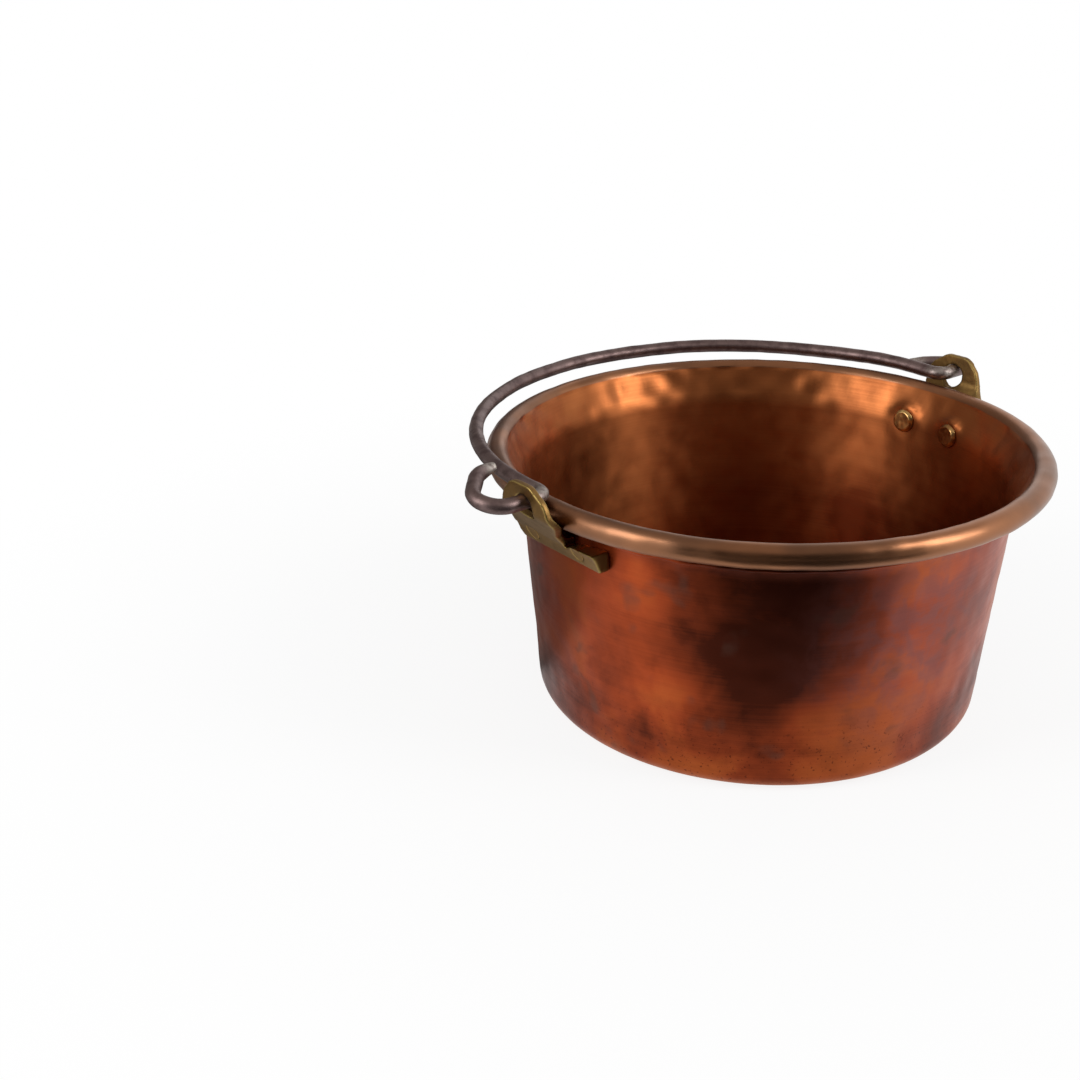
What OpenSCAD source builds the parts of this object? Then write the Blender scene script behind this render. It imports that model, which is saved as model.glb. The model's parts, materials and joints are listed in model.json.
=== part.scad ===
// Copper jam pan: a beaten copper pan with a wired rim bead, two riveted cast brass
// ears and a forged iron bail that swings over the pan.
// The origin is on the floor at the pan's axis. X runs along the bail's pivot, the near
// ear is at -X, the far ear at +X, and the bail lies folded down towards +Y.

/* [Pan] */
// Outside diameter over the rim bead
rim_d = 300; // [260:1:340]
// Height from the floor to the top of the rim bead
pan_height = 145.6; // [130:0.1:170]
// Distance from the rim bead's outside in to the wall, with the wall run down to the floor
wall_inset = 28.2; // [25:0.1:31]
// Lean of the wall from upright, in degrees
wall_lean = 4.5; // [3:0.1:5]
// Thickness of the copper sheet
sheet = 1.5; // [1:0.1:2]
// Outer radius of the corner between the bottom and the wall
corner_r = 10; // [5:0.5:20]
// Diameter of the rim bead
bead_d = 12.2; // [10:0.1:14]
// Lean of the flare below the bead, in degrees
flare_lean = 25; // [18:1:35]
// Radius of the bend from the wall into the flare
flare_bend_r = 22; // [12:1:30]
// Turn of the sheet around the rim wire, in degrees
bead_turn = 305; // [270:1:310]
// Drop from the bead's centre to the ridge where the turned edge is dressed down
lip_drop = 11.5; // [9:0.1:13]
// Radius of that ridge
lip_r = 1.5; // [0.8:0.1:2]

/* [Ears] */
// Thickness of the tongue that rises past the bead
tongue_t = 3.4; // [2.6:0.1:4]
// Thickness of the foot at its lower edge
foot_t = 3.6; // [3:0.1:4.5]
// Diameter of the hole that holds the bail
ear_hole_d = 13.4; // [11:0.1:15]
// Distance that the ear's outer face stands out past the bead, beside the hole
ear_overhang = 12.2; // [11:0.1:14]
// Height of the far ear above the near one, as the pan was riveted
far_ear_rise = 2.3; // [0:0.1:4]
// Drop from the near hole's centre to the line of the near rivets
near_rivet_drop = 27.6; // [26:0.1:30]
// Drop from the far hole's centre to the line of the far rivets
far_rivet_drop = 24.8; // [24:0.1:30]

/* [Rivets] */
// Diameter of a rivet's shank
shank_d = 6; // [4:0.1:7]
// Diameter of a rivet's head inside the pan
head_d = 13.4; // [11:0.1:15]
// Height of a rivet's head
head_h = 2.2; // [1.5:0.1:3]
// Width of the bevel around a rivet's head
head_bevel = 1.4; // [0.5:0.1:2]
// Diameter of the hammered end at the ear's outer face
peen_d = 8.2; // [7.5:0.1:9]
// Distance of the first rivet from the pivot, along the wall
rivet_a_offset = 9.8; // [9:0.1:12]
// Distance between an ear's two rivets
rivet_pitch = 34.1; // [30:0.1:36]

/* [Bail] */
// Diameter of the bail's iron rod
rod_d = 7.8; // [6:0.1:8.4]
// Distance from the rim bead's outside in to the centre line of each leg
leg_inset = 2; // [1:0.1:3]
// Length of each leg between the pivot and the start of the arch
leg_length = 12.5; // [9:0.5:30]
// Radius of the bend from a leg into its ear, at the rod's centre line
ear_bend_r = 6.5; // [5:0.1:7]
// Length of rod between an ear's outer face and the start of its hook
ear_play = 6.3; // [5:0.1:12]
// Diameter at each hook's tapered end
tip_d = 5.4; // [4:0.1:6]

/* [Near hook] */
// Radius of the outer bend, at the rod's centre line
near_bend_r = 11.8; // [8:0.1:14]
// Turn of the outer bend, in degrees
near_turn = 132; // [110:1:140]
// Length of the straight run back towards the leg
near_run = 11.3; // [8:0.1:20]
// Radius of the last bend, at the rod's centre line
near_tip_bend_r = 17.5; // [10:0.5:20]
// Turn of the last bend, in degrees
near_tip_turn = 48; // [20:1:50]
// Length of the tapered tip
near_tip_length = 2.8; // [2:0.1:8]
// Lift of the hook out of the bail's plane, in degrees
near_lift = 10; // [0:1:15]

/* [Far hook] */
// Radius of the outer bend, at the rod's centre line
far_bend_r = 8.5; // [6:0.1:12]
// Turn of the outer bend, in degrees
far_turn = 131; // [110:1:140]
// Length of the straight run back towards the leg
far_run = 21.5; // [12:0.1:26]
// Radius of the last bend, at the rod's centre line
far_tip_bend_r = 8; // [6:0.5:20]
// Turn of the last bend, in degrees
far_tip_turn = 17; // [10:1:45]
// Length of the tapered tip
far_tip_length = 1.5; // [1:0.1:8]
// Lift of the hook out of the bail's plane, in degrees
far_lift = -4; // [-8:1:4]

/* [Fits] */
// Clearance around rivet shanks, under the ears and around the rim wire
fit_gap = 0.05; // [0.02:0.01:0.1]
// Gap between the bail's near leg and the bead that it comes down on
rest_gap = 0.3; // [0.2:0.05:1]
// Gap between an ear's tongue and the bead behind it
bead_gap = 0.4; // [0.3:0.05:1]

/* [Hidden] */
$fn = 96;

// Steps of the arcs around the rim wire and around the ridge below it
wrap_steps = 40;
lip_steps = 12;

// The ear: how far its foot reaches below the rivets and its solid wedge above them,
// where it leans out past the bead, how far its upright stands in and out of plumb at
// the bend and at the top, and the block that it is cut from
foot_below = 6.9;
wedge_above = 4.6;
knee_above = 1.2;
foot_draft = 2;
upright_in = 0.6;
upright_out = 1.4;
ear_bend = 9;
ear_top = 16;
block_below = 5;
block_half = 60;

// The rivet: where its shank starts to spread, over what length, and where its blank ends
peen_start = 3;
peen_length = 3.4;
blank_end = 18;

// The rod: sides around it, degrees between stations on a bend, and for a swept end, how
// far it runs into the true cylinder that it meets and how much thinner it is there
rod_sides = 16;
station_turn = 6;
lap = 1;
shoulder = 0.03;

bead_r = bead_d / 2;
wire_r = bead_r - sheet - fit_gap;
bead_ring_r = rim_d / 2 - bead_r;
bead_z = pan_height - bead_r;
wall_foot_r = rim_d / 2 - wall_inset;
ear_hole_r = ear_hole_d / 2;
ear_reach = rim_d / 2 + ear_overhang;
rod_r = rod_d / 2;
leg_x = rim_d / 2 - leg_inset;
hook_start = ear_reach + ear_play;

// Radius of the wall's outer face at height z, below the flare
function wall_r(z) = wall_foot_r + z * tan(wall_lean);

// The bail's near leg comes down on the bead, which sets the height of its pivot
leg_lift = sqrt(pow(rod_r + bead_r + rest_gap, 2) - pow(leg_x - bead_ring_r, 2));
pivot_tilt = asin(far_ear_rise / (2 * ear_reach - tongue_t));
pivot_z = bead_z + leg_lift + leg_x * sin(pivot_tilt);

// The rod hangs in the top of each hole
near_hole_z = pivot_z - far_ear_rise / 2 + rod_r + fit_gap - ear_hole_r;
far_hole_z = near_hole_z + far_ear_rise;

// Points on an arc from angle a0 to angle a1
function arc(centre, r, a0, a1, steps) = [
    for (i = [0 : steps])
        let (a = a0 + (a1 - a0) * i / steps)
            centre + r * [cos(a), sin(a)]
];

function unit(v) = v / norm(v);

// The arc that rounds corner b between points a and c to radius r
function rounded_corner(a, b, c, r) =
    let (
        u = unit(a - b),
        v = unit(c - b),
        half = acos(u * v) / 2,
        centre = b + unit(u + v) * r / sin(half),
        p = b + u * r / tan(half) - centre,
        q = b + v * r / tan(half) - centre,
        start = atan2(p[1], p[0]),
        turn = (atan2(q[1], q[0]) - start + 540) % 360 - 180
    )
    arc(centre, r, start, start + turn, 8);

function flat(p) = [p[0], p[1]];

// A closed outline of corners given as [across, up, radius]
function rounded_outline(p) = [
    for (i = [0 : len(p) - 1])
        let (before = p[(i + len(p) - 1) % len(p)], after = p[(i + 1) % len(p)])
            each rounded_corner(flat(before), flat(p[i]), flat(after), p[i][2])
];

// An open path of corners given the same way, with plain ends
function rounded_path(p) = [
    flat(p[0]),
    for (i = [1 : len(p) - 2])
        each rounded_corner(flat(p[i - 1]), flat(p[i]), flat(p[i + 1]), p[i][2]),
    flat(p[len(p) - 1])
];

// The same path moved sideways by d, to the left of its own direction
function beside(path, d) = [
    for (i = [0 : len(path) - 1])
        let (
            a = path[max(i - 1, 0)],
            b = path[min(i + 1, len(path) - 1)],
            along = unit(b - a)
        )
            path[i] + d * [-along[1], along[0]]
];

function backwards(p) = [for (i = [len(p) - 1 : -1 : 0]) p[i]];

// The pan's outer face, as a path from the middle of the bottom up to the bead, with its
// last point where the sheet starts to wrap the rim wire
flare_side = [cos(flare_lean), -sin(flare_lean)];
bead_centre = [bead_ring_r, bead_z];
flare_top = bead_centre - flare_side * (bead_r - sheet);
flare_foot_z = (flare_top[0] - flare_top[1] * tan(flare_lean) - wall_foot_r)
    / (tan(wall_lean) - tan(flare_lean));
outer_face = rounded_path([
    [0, 0, 0],
    [wall_foot_r, 0, corner_r],
    [wall_r(flare_foot_z), flare_foot_z, flare_bend_r],
    [flare_top[0], flare_top[1], 0]
]);
lip_z = bead_z - lip_drop;
lip_centre = [flare_top[0] - (flare_top[1] - lip_z) * tan(flare_lean), lip_z];

// The sheet turns over the wire from the inner side, clockwise, and a half-round ridge
// runs around the flare below it
wrap_start = 180 - flare_lean;
wrap_end = wrap_start - bead_turn;

module pan_profile() {
    inner_face = beside(outer_face, sheet);
    last = len(outer_face) - 1;
    polygon(concat(
        [for (i = [0 : last - 1]) outer_face[i]],
        arc(lip_centre, lip_r, -90 - flare_lean, 90 - flare_lean, lip_steps),
        [outer_face[last]],
        arc(bead_centre, bead_r - sheet, wrap_start, wrap_end, wrap_steps),
        arc(bead_centre, bead_r, wrap_end, wrap_start, wrap_steps),
        [for (i = [last - 1 : -1 : 1]) inner_face[i]],
        [[0, sheet]]
    ));
}

// Everything inside the pan's outer face, grown by a gap, for cutting what seats on it
module pan_envelope(wall_gap, bead_gap) {
    rotate_extrude() {
        polygon(concat(beside(outer_face, -wall_gap), [[0, flare_top[1]]]));
        translate(lip_centre) circle(r = lip_r + wall_gap);
        translate(bead_centre) circle(r = bead_r + bead_gap);
    }
}

// Puts its children at a rivet of the ear at +X: +Z runs out of the pan, square to the
// wall, from the wall's outer face
module at_rivet(offset, z) {
    rotate([0, 0, -asin(offset / wall_r(z))])
        translate([wall_r(z), 0, z])
            rotate([0, 90 + wall_lean, 0])
                children();
}

rivet_offsets = [-rivet_a_offset, rivet_pitch - rivet_a_offset];
near_rivet_z = near_hole_z - near_rivet_drop;
far_rivet_z = far_hole_z - far_rivet_drop;

module rivet_bores(z) {
    for (offset = rivet_offsets)
        at_rivet(offset, z)
            cylinder(d = shank_d + 2 * fit_gap, h = 2 * blank_end, center = true);
}

module pan_body() {
    color("#a8522f")
        difference() {
            rotate_extrude() pan_profile();
            rotate([0, 0, 180]) rivet_bores(near_rivet_z);
            rivet_bores(far_rivet_z);
        }
}

module rim_wire() {
    color("#4a4442")
        rotate_extrude()
            translate(bead_centre)
                circle(r = wire_r);
}

// The ear's outline seen from outside the pan, as [along the wall, up from the hole's
// centre, corner radius]: the short foot, the throat beside it, the lobe around the hole
// and the long foot
function ear_outline(drop) = [
    [-24.5, -drop - foot_below, 1.2],
    [-24.5, -drop + 4.4, 1.2],
    [-5.5, -drop + 2, 1.2],
    [1, -drop - 1.4, 1.2],
    [-3, -drop + 8.1, 5],
    [-19.5, -6, 8],
    [-16, 5, 9],
    [-6, 12, 8],
    [9, 12, 9],
    [16, 4.5, 9],
    [19.5, -5.5, 8],
    [37.5, -drop + 3.6, 8],
    [38.5, -drop - 3.4, 3],
    [36, -drop - foot_below, 3]
];

// The ear's outer face in section, as [distance from the pan's axis, up from the hole's
// centre, bend radius]: a wedge on the wall, a lean out past the bead, an upright end
lean_out = bead_centre + (bead_r + bead_gap + tongue_t) * [sin(45), -sin(45)];
function ear_face(hole_z, drop) =
    let (
        line = lean_out[0] - lean_out[1] + hole_z,
        face_foot = wall_r(hole_z - drop - foot_below) + foot_t,
        knee_up = knee_above - drop,
        bend_x = ear_reach - upright_in
    )
    rounded_path([
        [face_foot - foot_draft, -drop - foot_below - block_below, 0],
        [knee_up + line, knee_up, ear_bend],
        [bend_x, bend_x - line, ear_bend],
        [ear_reach + upright_out, ear_top, 0]
    ]);

// All that lies inside the ear's outer face, in the same section
module inside_face(hole_z, drop) {
    polygon(concat(
        [[0, -drop - foot_below - block_below]],
        ear_face(hole_z, drop),
        [[0, ear_top]]
    ));
}

module ear_section(hole_z, drop) {
    face = ear_face(hole_z, drop);
    polygon(concat(face, backwards(beside(face, tongue_t))));
    intersection() {
        inside_face(hole_z, drop);
        translate([0, -drop - foot_below - block_below])
            square([2 * ear_reach, block_below + foot_below + wedge_above]);
    }
}

// Turns a section across the ear at +X into a block around it
module across_ear(hole_z) {
    translate([0, block_half, hole_z])
        rotate([90, 0, 0])
            linear_extrude(2 * block_half)
                children();
}

// An ear at +X, with its hole's centre at height hole_z and its rivets drop below that
module ear(hole_z, drop) {
    difference() {
        intersection() {
            across_ear(hole_z) ear_section(hole_z, drop);
            translate([wall_foot_r, 0, hole_z])
                rotate([90, 0, 90])
                    linear_extrude(ear_reach - wall_foot_r + block_below)
                        mirror([1, 0])
                            polygon(rounded_outline(ear_outline(drop)));
        }
        pan_envelope(fit_gap, bead_gap);
        translate([wall_foot_r, 0, hole_z])
            rotate([0, 90, 0])
                cylinder(r = ear_hole_r, h = ear_reach);
        for (offset = rivet_offsets)
            at_rivet(offset, hole_z - drop)
                rivet_blank(fit_gap);
    }
}

module near_ear() {
    color("#8d7a45") rotate([0, 0, 180]) ear(near_hole_z, near_rivet_drop);
}

module far_ear() {
    color("#8d7a45") ear(far_hole_z, far_rivet_drop);
}

// One rivet on its own axis: a bevelled head inside the pan, a shank through the wall
// and the ear, and an end hammered out to fill a wider hole
head_seat = pow(head_d / 2, 2) / (2 * wall_foot_r) + fit_gap;

module rivet_blank(gap) {
    head_base = -sheet - head_seat;
    rotate_extrude()
        polygon([
            [0, head_base - head_h],
            [head_d / 2 - head_bevel + gap, head_base - head_h],
            [head_d / 2 + gap, head_base - head_h / 3],
            [head_d / 2 + gap, head_base],
            [shank_d / 2 + gap, head_base],
            [shank_d / 2 + gap, peen_start],
            [peen_d / 2 + gap, peen_start + peen_length],
            [peen_d / 2 + gap, blank_end],
            [0, blank_end]
        ]);
}

// A rivet of the ear at +X, cut flush with the ear's outer face
module rivet(offset, hole_z, drop) {
    intersection() {
        at_rivet(offset, hole_z - drop) rivet_blank(0);
        across_ear(hole_z) inside_face(hole_z, drop);
    }
}

module near_rivet_a() {
    color("#c9a14e")
        rotate([0, 0, 180]) rivet(rivet_offsets[0], near_hole_z, near_rivet_drop);
}

module near_rivet_b() {
    color("#c9a14e")
        rotate([0, 0, 180]) rivet(rivet_offsets[1], near_hole_z, near_rivet_drop);
}

module far_rivet_a() {
    color("#c9a14e") rivet(rivet_offsets[0], far_hole_z, far_rivet_drop);
}

module far_rivet_b() {
    color("#c9a14e") rivet(rivet_offsets[1], far_hole_z, far_rivet_drop);
}

// The rod's centre line in the bail's plane, as stations of [x, y, heading], from a list
// of steps: [length] for a straight run, [radius, turn] for a bend, left turns positive
function centre_line(steps, at, i = 0) =
    i == len(steps) ? [] :
    let (
        step = steps[i],
        straight = len(step) == 1,
        count = straight ? 1 : ceil(abs(step[1]) / station_turn),
        run = [
            for (k = [1 : count])
                straight ? ahead(at, step[0]) : around(at, step[0], step[1] * k / count)
        ]
    )
    concat(run, centre_line(steps, run[count - 1], i + 1));

function ahead(at, length) = [
    at[0] + length * cos(at[2]),
    at[1] + length * sin(at[2]),
    at[2]
];

function around(at, radius, turn) =
    let (side = radius * sign(turn), after = at[2] + turn)
    [
        at[0] + side * (sin(after) - sin(at[2])),
        at[1] + side * (cos(at[2]) - cos(after)),
        after
    ];

// The rod's radius at a station, counted from an end that laps a true cylinder
function lapped_r(from_end) = rod_r - (from_end < 2 ? shoulder : 0);

// A round tube through stations, with a radius for each
module tube(stations, radii) {
    last = len(stations) - 1;
    points = [
        for (i = [0 : last], k = [0 : rod_sides - 1])
            let (s = stations[i], a = 360 * (k + 0.5) / rod_sides, r = radii[i])
                [s[0] - r * cos(a) * sin(s[2]), s[1] + r * cos(a) * cos(s[2]), r * sin(a)]
    ];
    function id(i, k) = i * rod_sides + k % rod_sides;
    polyhedron(points, concat(
        [[for (k = [0 : rod_sides - 1]) id(0, k)]],
        [[for (k = [rod_sides - 1 : -1 : 0]) id(last, k)]],
        [
            for (i = [0 : last - 1], k = [0 : rod_sides - 1])
                each [
                    [id(i, k), id(i + 1, k), id(i + 1, k + 1)],
                    [id(i, k), id(i + 1, k + 1), id(i, k + 1)]
                ]
        ]
    ));
}

// Half the bail from the top of its arch to its ear, mirrored for the other half
arch_top = [0, leg_length + leg_x, 0];
half_arch = concat([arch_top], centre_line([
    [leg_x, -90],
    [leg_length - ear_bend_r],
    [ear_bend_r, 90],
    [lap]
], arch_top));

module arch() {
    half = len(half_arch) - 1;
    tube(
        concat(
            [for (i = [half : -1 : 1]) [-half_arch[i][0], half_arch[i][1], -half_arch[i][2]]],
            half_arch
        ),
        [for (i = [0 : 2 * half]) lapped_r(min(i, 2 * half - i))]
    );
}

// The stub that turns in the ear at +X, a true cylinder a hair proud of what it meets,
// and the hook beyond it, bent by the given steps and lifted about the stub's axis
module ear_end(steps, lift) {
    stub_start = leg_x + ear_bend_r;
    root = [hook_start - lap, 0, 0];
    line = concat([root], centre_line(concat([[lap]], steps), root));
    ends = len(line) - 1;
    translate([stub_start, 0, 0])
        rotate([0, 90, 0])
            cylinder(r = rod_r, h = hook_start - stub_start);
    rotate([lift, 0, 0])
        tube(line, [for (i = [0 : ends]) i == ends ? tip_d / 2 : lapped_r(i)]);
}

module bail() {
    color("#5b5350")
        translate([0, 0, pivot_z])
            rotate([0, -pivot_tilt, 0]) {
                arch();
                mirror([1, 0, 0])
                    ear_end([
                        [near_bend_r, near_turn],
                        [near_run],
                        [near_tip_bend_r, near_tip_turn],
                        [near_tip_length]
                    ], near_lift);
                ear_end([
                    [far_bend_r, far_turn],
                    [far_run],
                    [far_tip_bend_r, far_tip_turn],
                    [far_tip_length]
                ], far_lift);
            }
}

pan_body();
rim_wire();
near_ear();
far_ear();
near_rivet_a();
near_rivet_b();
far_rivet_a();
far_rivet_b();
bail();
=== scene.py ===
import json
import math

import bmesh
import bpy
import numpy as np
from mathutils import Matrix, Vector


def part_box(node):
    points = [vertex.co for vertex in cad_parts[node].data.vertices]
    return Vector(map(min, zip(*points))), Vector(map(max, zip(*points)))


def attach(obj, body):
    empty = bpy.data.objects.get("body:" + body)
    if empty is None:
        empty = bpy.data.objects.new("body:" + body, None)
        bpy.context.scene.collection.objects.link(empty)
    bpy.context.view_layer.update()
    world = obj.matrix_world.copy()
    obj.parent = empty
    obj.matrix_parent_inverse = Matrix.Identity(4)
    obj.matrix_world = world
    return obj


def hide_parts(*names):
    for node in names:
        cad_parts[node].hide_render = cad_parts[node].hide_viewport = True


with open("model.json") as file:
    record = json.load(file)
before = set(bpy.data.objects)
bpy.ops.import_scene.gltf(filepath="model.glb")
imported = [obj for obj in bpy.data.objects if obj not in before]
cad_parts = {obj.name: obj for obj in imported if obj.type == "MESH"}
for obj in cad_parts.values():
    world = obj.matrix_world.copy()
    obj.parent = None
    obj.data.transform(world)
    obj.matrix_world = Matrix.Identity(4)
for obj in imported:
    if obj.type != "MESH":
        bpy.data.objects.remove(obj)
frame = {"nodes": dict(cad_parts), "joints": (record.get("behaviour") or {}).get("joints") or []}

bl_info = {
    "name": "Copper jam pan",
    "version": (1, 0, 0),
    "blender": (4, 5, 0),
    "location": "View3D > Sidebar > Jam pan",
    "description": "Dresses a copper jam pan: beaten sheet, cast ears, rivets and forged bail",
    "category": "Object",
}

MM = 0.001
PAN_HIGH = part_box("pan_body")[1]
SWING = next(j for j in frame["joints"] if j["name"] == "bail_swing")
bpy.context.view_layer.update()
EARS = ("near_ear", "far_ear")
RIVETS = ("near_rivet_a", "near_rivet_b", "far_rivet_a", "far_rivet_b")


def linear(code):
    """The linear colour of an sRGB hex value: c / 12.92 up to 0.04045, and above it
    ((c + 0.055) / 1.055) ^ 2.4."""
    c = np.array([int(code[i:i + 2], 16) for i in (1, 3, 5)]) / 255
    c = np.where(c <= 0.04045, c / 12.92, ((c + 0.055) / 1.055) ** 2.4)
    return tuple(c.tolist())


def length(name, description, default):
    """A size in metres that the sidebar shows in the scene's own unit."""
    return bpy.props.FloatProperty(
        name=name, description=description, default=default, unit="LENGTH",
        subtype="DISTANCE", precision=4,
    )


def turn(name, description, degrees):
    """An angle, written in degrees and kept in radians."""
    return bpy.props.FloatProperty(
        name=name, description=description, default=math.radians(degrees),
        unit="ROTATION", subtype="ANGLE",
    )


def paint(name, description, code):
    """A colour, written as an sRGB hex value."""
    return bpy.props.FloatVectorProperty(
        name=name, description=description, default=linear(code), subtype="COLOR",
        min=0, max=1,
    )


class PanSizes(bpy.types.PropertyGroup):
    rim_radius: length("Rim radius", "Outside radius over the rim bead", PAN_HIGH.x)
    height: length("Height", "From the floor to the top of the rim bead", PAN_HIGH.z)
    foot_radius: length("Foot radius", "Radius of the wall, run down to the floor", 121.8 * MM)
    wall_lean: turn("Wall lean", "Lean of the wall from upright", 4.5)
    sheet: length("Sheet", "Thickness of the copper sheet", 1.5 * MM)
    corner: length("Corner", "Radius of the corner between the bottom and the wall", 10 * MM)
    bead_radius: length("Bead radius", "Radius of the rim bead's section", 6.1 * MM)
    flare_lean: turn("Flare lean", "Lean of the flare below the bead", 25)
    flare_bend: length("Flare bend", "Radius of the bend from the wall into the flare", 22 * MM)
    bead_turn: turn("Bead turn", "Turn of the sheet around the rim wire", 305)
    lip_drop: length("Lip drop", "Drop from the bead's middle to the ridge below it", 11.5 * MM)
    lip_radius: length("Lip radius", "Radius of the ridge below the bead", 1.5 * MM)
    small_marks: length("Hammer marks", "Height of the planishing hammer's marks", 0.07 * MM)
    broad_marks: length("Raising marks", "Height of the broad marks from raising", 0.1 * MM)
    rivet_ring: length("Rivet ring", "Height of the ring beaten up at each rivet", 0.25 * MM)


class BailSizes(bpy.types.PropertyGroup):
    rod: length("Rod radius", "Radius of the forged rod", 3.9 * MM)
    leg: length("Leg", "Distance of each leg from the middle of the bail", 148 * MM)
    leg_length: length("Leg length", "From the pivot to the start of the arch", 12.5 * MM)
    ear_bend: length("Ear bend", "Radius of the bend from a leg into its ear", 6.5 * MM)
    hook_start: length("Hook start", "From the middle of the bail to a hook", 168.5 * MM)
    tip: length("Tip radius", "Radius at the end of each tip", 2.7 * MM)
    near_bend: length("Near bend", "Radius of the near hook's outer bend", 11.8 * MM)
    near_turn: turn("Near turn", "Turn of the near hook's outer bend", 132)
    near_run: length("Near run", "Straight run of the near hook", 11.3 * MM)
    near_tip_bend: length("Near tip bend", "Radius of the near hook's last bend", 17.5 * MM)
    near_tip_turn: turn("Near tip turn", "Turn of the near hook's last bend", 48)
    near_tip: length("Near tip", "Length of the near hook's tip", 2.8 * MM)
    near_lift: turn("Near lift", "Lift of the near hook out of the bail's plane", 10)
    far_bend: length("Far bend", "Radius of the far hook's outer bend", 8.5 * MM)
    far_turn: turn("Far turn", "Turn of the far hook's outer bend", 131)
    far_run: length("Far run", "Straight run of the far hook", 21.5 * MM)
    far_tip_bend: length("Far tip bend", "Radius of the far hook's last bend", 8 * MM)
    far_tip_turn: turn("Far tip turn", "Turn of the far hook's last bend", 17)
    far_tip: length("Far tip", "Length of the far hook's tip", 1.5 * MM)
    far_lift: turn("Far lift", "Lift of the far hook out of the bail's plane", -4)


class Finishes(bpy.types.PropertyGroup):
    copper: paint("Copper", "Reddish copper of the outside", "#ac4a26")
    # The tarnish colour also paints the dark reflection at the front of the outside
    tarnish_and_dark_reflection: paint("Tarnish", "Brown tarnish of the outside, and its pits", "#4f2114")
    mauve: paint("Mauve", "Pinkish grey oxide of the outside", "#7f4f4c")
    smudge: paint("Smudge", "Grey-brown smudges of the outside", "#5a3d33")
    heated: paint("Heated", "Orange copper of the foot and between the clouds", "#b9652f")
    inside: paint("Inside", "Orange-brown copper of the inside", "#b26a3c")
    dark_inside: paint("Stained", "Dark brown copper of the inside", "#6b321b")
    bead: paint("Bead", "Rose-brown copper of the rim bead", "#9b6a4b")
    bead_dark: paint("Dark bead", "Olive-brown copper of the rim bead", "#7d5841")
    ear: paint("Ear", "Khaki brass of the ears and of the rivets' outer ends", "#8e6e40")
    ear_dirt: paint("Ear dirt", "Brown of the ears' hollows", "#604b31")
    ear_edge: paint("Ear edge", "Rubbed brass on the ears' edges", "#9c8750")
    rivet: paint("Rivet", "Yellow brass of the rivets", "#dcb878")
    rivet_dirt: paint("Rivet dirt", "Brown of the tarnished rivets", "#98693f")
    iron: paint("Iron", "Grey-brown of the forged iron", "#7b6865")
    scale: paint("Forge scale", "Dark scale of the forged iron", "#564544")
    rubbed: paint("Rubbed iron", "Bright iron where the bail rubs", "#b0a8a0")
    floor: paint("Floor", "Pale floor", "#f4f4f4")


def course(start, heading, steps):
    """A plane line as points, headings and the length run.

    Each step is (length, turn, spacing). Over a step the heading grows evenly by its turn,
    and the point moves along the heading, so that a turn of 0 is a straight run and any
    other one is an arc of radius length / turn.
    """
    spots, headings, runs = [np.array([start], float)], [np.array([heading])], [np.zeros(1)]
    for long, swing, spacing in steps:
        s = np.linspace(0, long, max(2, math.ceil(long / spacing)) + 1)[1:]
        h0, p0 = headings[-1][-1], spots[-1][-1]
        h = h0 + swing * s / long
        if swing:
            r = long / swing
            moved = r * np.stack([np.sin(h) - math.sin(h0), math.cos(h0) - np.cos(h)], 1)
        else:
            moved = s[:, None] * np.array([math.cos(h0), math.sin(h0)])
        spots.append(p0 + moved)
        headings.append(h)
        runs.append(runs[-1][-1] + s)
    return np.concatenate(spots), np.concatenate(headings), np.concatenate(runs)


def left_of(headings):
    """The unit direction a quarter turn to the left of each heading."""
    return np.stack([-np.sin(headings), np.cos(headings)], 1)


def waves(points, shortest, longest, seed):
    """An even, seamless unevenness in space, with a mean of 0 and a spread of about 1.

    It is the sum of plane waves sin(k . p + phase) with seeded directions and phases, and
    with wavelengths between shortest and longest.
    """
    count = 56
    dice = np.random.default_rng(seed)
    way = dice.normal(size=(count, 3))
    way /= np.linalg.norm(way, axis=1)[:, None]
    k = way * (2 * math.pi / dice.uniform(shortest, longest, count))[:, None]
    phase = dice.uniform(0, 2 * math.pi, count)
    return np.sin(points @ k.T + phase).sum(1) * math.sqrt(2 / count)


def smooth_step(x, low, high):
    """0 below low and 1 above high, with 3t^2 - 2t^3 between them; high may be the lower."""
    t = np.clip((x - low) / (high - low), 0, 1)
    return t * t * (3 - 2 * t)


def grid_faces(rows, columns, first=0):
    """Quads between rows of points that close on themselves, turned (column, row)."""
    i, j = np.meshgrid(np.arange(rows - 1), np.arange(columns), indexing="ij")
    k = (j + 1) % columns
    quads = np.stack([i * columns + j, i * columns + k, (i + 1) * columns + k,
                      (i + 1) * columns + j], -1)
    return quads.reshape(-1, 4) + first


def fan_faces(pole, ring, columns, outward):
    """Triangles between a pole and the row of points that starts at ring."""
    j = np.arange(columns)
    k = (j + 1) % columns
    a, b = (k, j) if outward else (j, k)
    return np.stack([np.full(columns, pole), ring + a, ring + b], -1)


def set_attributes(mesh, attributes):
    """Keeps a number for each vertex under each name."""
    for name, values in attributes.items():
        field = mesh.attributes.new(name, "FLOAT", "POINT")
        field.data.foreach_set("value", np.asarray(values, np.float32))


def place_piece(name, mesh, material, body, node):
    """Puts a smooth mesh into the scene with its finish, the body that it rides on and the
    CAD node that it stands for."""
    mesh.shade_smooth()
    mesh.materials.append(material)
    piece = bpy.data.objects.new(name, mesh)
    bpy.context.scene.collection.objects.link(piece)
    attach(piece, body)
    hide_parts(node)


def build_mesh(name, points, faces, attributes):
    """A mesh from points, from arrays of faces, and from its attributes."""
    mesh = bpy.data.meshes.new(name)
    mesh.from_pydata(points, [], [face for part in faces for face in part.tolist()])
    set_attributes(mesh, attributes)
    mesh.validate()
    return mesh


# The parts of the pan's section, from the bottom's outer face round the bead to the inside
OUTER, UNDER, LIP, OVER, INNER = range(5)


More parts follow.
